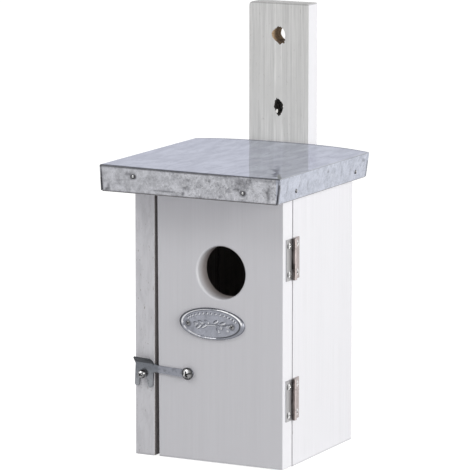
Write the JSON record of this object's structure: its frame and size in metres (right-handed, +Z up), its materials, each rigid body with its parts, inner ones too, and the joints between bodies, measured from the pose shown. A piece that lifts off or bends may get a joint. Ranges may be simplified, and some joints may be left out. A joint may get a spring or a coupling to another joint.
{
  "type": "nest box",
  "caption": "White-painted wooden nest box with a zinc sheet roof, a side-hinged front door with a round entrance, a swivel latch and a mounting slat.",
  "frame": {"origin": "middle of the outline seen from above, on the ground under the box", "axes": "+Z up, the door faces -Y, the mounting slat is on the +Y side, the hinges are on the +X side"},
  "size_m": [0.122, 0.1334, 0.269],
  "materials": {
    "painted_wood": "white paint, satin, with faint grain",
    "zinc_sheet": "mottled zinc coating, semi-gloss",
    "nails": "dull zinc",
    "hinge_steel": "satin nickel",
    "latch_zinc": "dull stamped zinc",
    "plaque_metal": "satin cast metal",
    "screws": "bright"
  },
  "bodies": {
    "box": {"left_wall": "painted_wood", "right_wall": "painted_wood", "back_wall": "painted_wood", "floor": "painted_wood", "roof_board": "painted_wood", "roof_sheet": "zinc_sheet", "mounting_slat": "painted_wood", "upper_hinge_wall_leaf": "hinge_steel", "upper_hinge_pin": "hinge_steel", "upper_hinge_wall_screws": "screws", "lower_hinge_wall_leaf": "hinge_steel", "lower_hinge_pin": "hinge_steel", "lower_hinge_wall_screws": "screws", "catch_screw": "screws", "roof_nails_front": "nails", "roof_nails_left": "nails", "roof_nails_right": "nails", "slat_screws": "screws"},
    "door": {"door": "painted_wood", "upper_hinge_door_leaf": "hinge_steel", "upper_hinge_door_screws": "screws", "lower_hinge_door_leaf": "hinge_steel", "lower_hinge_door_screws": "screws", "latch_pivot_screw": "screws", "plaque": "plaque_metal", "plaque_screws": "screws"},
    "latch": {"latch": "latch_zinc"}
  },
  "joints": [
    {"name": "door_hinge", "type": "hinge", "parent": "box", "child": "door", "pos_m": [0.05105, -0.02885, 0.08425], "axis": [0, 0, 1], "range_deg": [0, 165]},
    {"name": "latch_pivot", "type": "hinge", "parent": "door", "child": "latch", "pos_m": [-0.01402, -0.04065, 0.0535], "axis": [0, 1, 0], "range_deg": [0, 60]}
  ]
}
